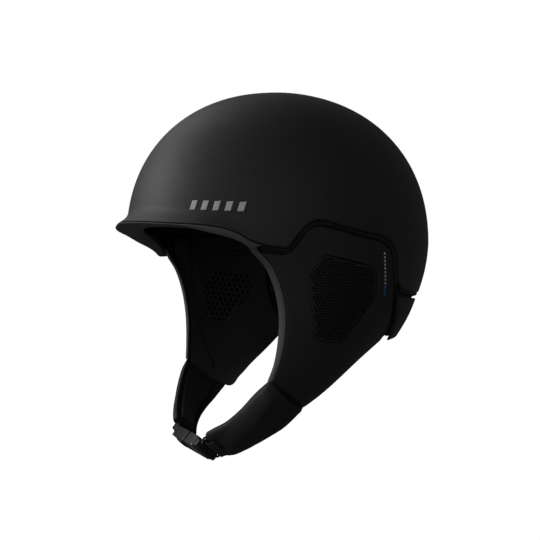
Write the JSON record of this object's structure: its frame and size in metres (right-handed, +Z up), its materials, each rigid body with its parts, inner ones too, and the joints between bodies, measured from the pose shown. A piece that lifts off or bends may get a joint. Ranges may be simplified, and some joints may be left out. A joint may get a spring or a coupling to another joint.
{
  "type": "water helmet",
  "caption": "Open-faced water sports helmet: flared dome shell, perforated side panels, padded lining and a chin strap with a magnetic snap buckle.",
  "frame": {"origin": "centre of the head cavity: the middle plane, at the level where the dome is widest", "axes": "front of the helmet towards -Y, wearer's left towards +X, +Z up through the crown"},
  "size_m": [0.2054, 0.2551, 0.2715],
  "materials": {
    "shell_crown": "matt with a fine woven grain",
    "shell_side": "smooth matt",
    "edge_trim": "smooth matt, lighter grey",
    "foam": "matt closed-cell foam",
    "lining_fabric": "matt cloth",
    "grille": "matt",
    "ear_foam": "matt cloth over foam",
    "stretch_band": "ribbed stretch cloth",
    "rubber_patch": "smooth matt",
    "print_grey": "flat printed ink",
    "sleeve": "smooth matt",
    "sleeve_lining": "matt cloth",
    "webbing": "woven",
    "buckle_body": "satin",
    "buckle_button": "satin",
    "buckle_tongue": "satin gloss",
    "magnet": "satin",
    "spring_wire": "bright"
  },
  "bodies": {
    "helmet": {"crown_shell": "shell_crown", "brim_edge": "edge_trim", "shock_liner": "foam", "crown_lining": "lining_fabric", "rear_liner": "foam", "left_side_panel": "shell_side", "right_side_panel": "shell_side", "left_face_edge": "edge_trim", "right_face_edge": "edge_trim", "left_cheek_foam": "foam", "right_cheek_foam": "foam", "left_cheek_lining": "lining_fabric", "right_cheek_lining": "lining_fabric", "left_ear_grille": "grille", "right_ear_grille": "grille", "left_ear_pad": "ear_foam", "right_ear_pad": "ear_foam", "left_seam_band": "stretch_band", "right_seam_band": "stretch_band", "rear_seam_band": "stretch_band", "rear_patch": "rubber_patch", "front_badge": "print_grey", "left_side_mark": "print_grey", "front_pad": "lining_fabric", "left_temple_pad": "lining_fabric", "right_temple_pad": "lining_fabric"},
    "nape": {"nape_panel": "shell_crown", "nape_pad": "foam"},
    "left_strap": {"left_strap_sleeve": "sleeve", "left_strap_lining": "sleeve_lining", "left_webbing": "webbing", "buckle_tongue": "buckle_tongue", "tongue_magnet": "magnet", "strap_tail": "webbing"},
    "right_strap": {"right_strap_sleeve": "sleeve", "right_strap_lining": "sleeve_lining", "right_webbing": "webbing", "buckle_socket": "buckle_body", "socket_magnet": "magnet", "button_spring": "spring_wire"},
    "release": {"release_button": "buckle_button"},
    "keeper": {"tail_keeper": "rubber_patch"}
  },
  "joints": [
    {"name": "left_strap_swing", "type": "hinge", "parent": "helmet", "child": "left_strap", "pos_m": [0.0732, -0.0374, -0.1125], "axis": [0.2253, -0.7731, 0.5929], "range_deg": [0, 60]},
    {"name": "right_strap_swing", "type": "hinge", "parent": "helmet", "child": "right_strap", "pos_m": [-0.0732, -0.0374, -0.1125], "axis": [0.2253, 0.7731, -0.5929], "range_deg": [0, 60]},
    {"name": "release_press", "type": "slide", "parent": "right_strap", "child": "release", "axis": [0, 0.695, 0.719], "range_m": [0, 0.0015], "stiffness_N_per_m": 600, "springref_m": -0.002, "deforming": ["button_spring"]},
    {"name": "nape_tilt", "type": "hinge", "parent": "helmet", "child": "nape", "pos_m": [0, 0.104, -0.045], "axis": [1, 0, 0], "range_deg": [-1, 5], "stiffness_Nm_per_rad": 3},
    {"name": "keeper_slide", "type": "slide", "parent": "left_strap", "child": "keeper", "axis": [-0.9023, -0.2771, -0.3301], "range_m": [-0.0003, 0.001]}
  ],
  "couplings": [
    {"joint": "right_strap_swing", "follows": "left_strap_swing", "ratio": 1}
  ]
}
